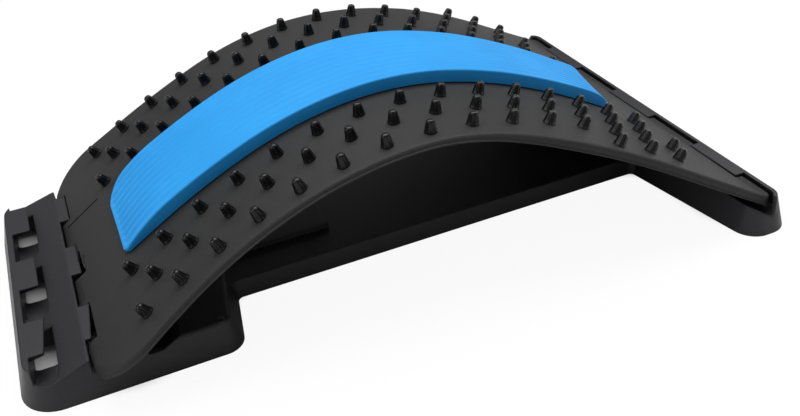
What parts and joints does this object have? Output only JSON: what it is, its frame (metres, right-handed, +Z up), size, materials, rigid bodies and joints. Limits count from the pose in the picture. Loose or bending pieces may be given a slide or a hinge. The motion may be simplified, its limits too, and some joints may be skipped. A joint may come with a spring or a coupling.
{
  "type": "arched back stretcher",
  "caption": "Arched back stretching board with a padded middle strip and massage nubs, seated on a flat base frame with rows of catches that set the height of the arch.",
  "frame": {"origin": "centre of the overall box, on the floor under the base", "axes": "+X along the board from the narrow foot to the wide foot, +Z up from the floor; the row stands as it is used"},
  "size_m": [0.3824, 0.2534, 0.0917],
  "materials": {
    "base_plastic": "satin moulded",
    "board_plastic": "matte moulded",
    "blue_foam": "soft closed-cell foam with fine lengthwise ribs",
    "adhesive": "thin tacky film",
    "nub_plastic": "glossy"
  },
  "bodies": {
    "base": {"base_frame": "base_plastic"},
    "board": {"arch_board": "board_plastic", "foam_strip": "blue_foam", "adhesive_sheet": "adhesive", "nubs_near_inner": "nub_plastic", "nubs_near_middle": "nub_plastic", "nubs_near_outer": "nub_plastic", "nubs_near_flare": "nub_plastic", "nubs_far_inner": "nub_plastic", "nubs_far_middle": "nub_plastic", "nubs_far_outer": "nub_plastic", "nubs_far_flare": "nub_plastic"}
  },
  "joints": [
    {"name": "board_lift", "type": "hinge", "parent": "base", "child": "board", "pos_m": [0.18045, 0, 0.01628], "axis": [0, 1, 0], "range_deg": [0, 50]}
  ]
}
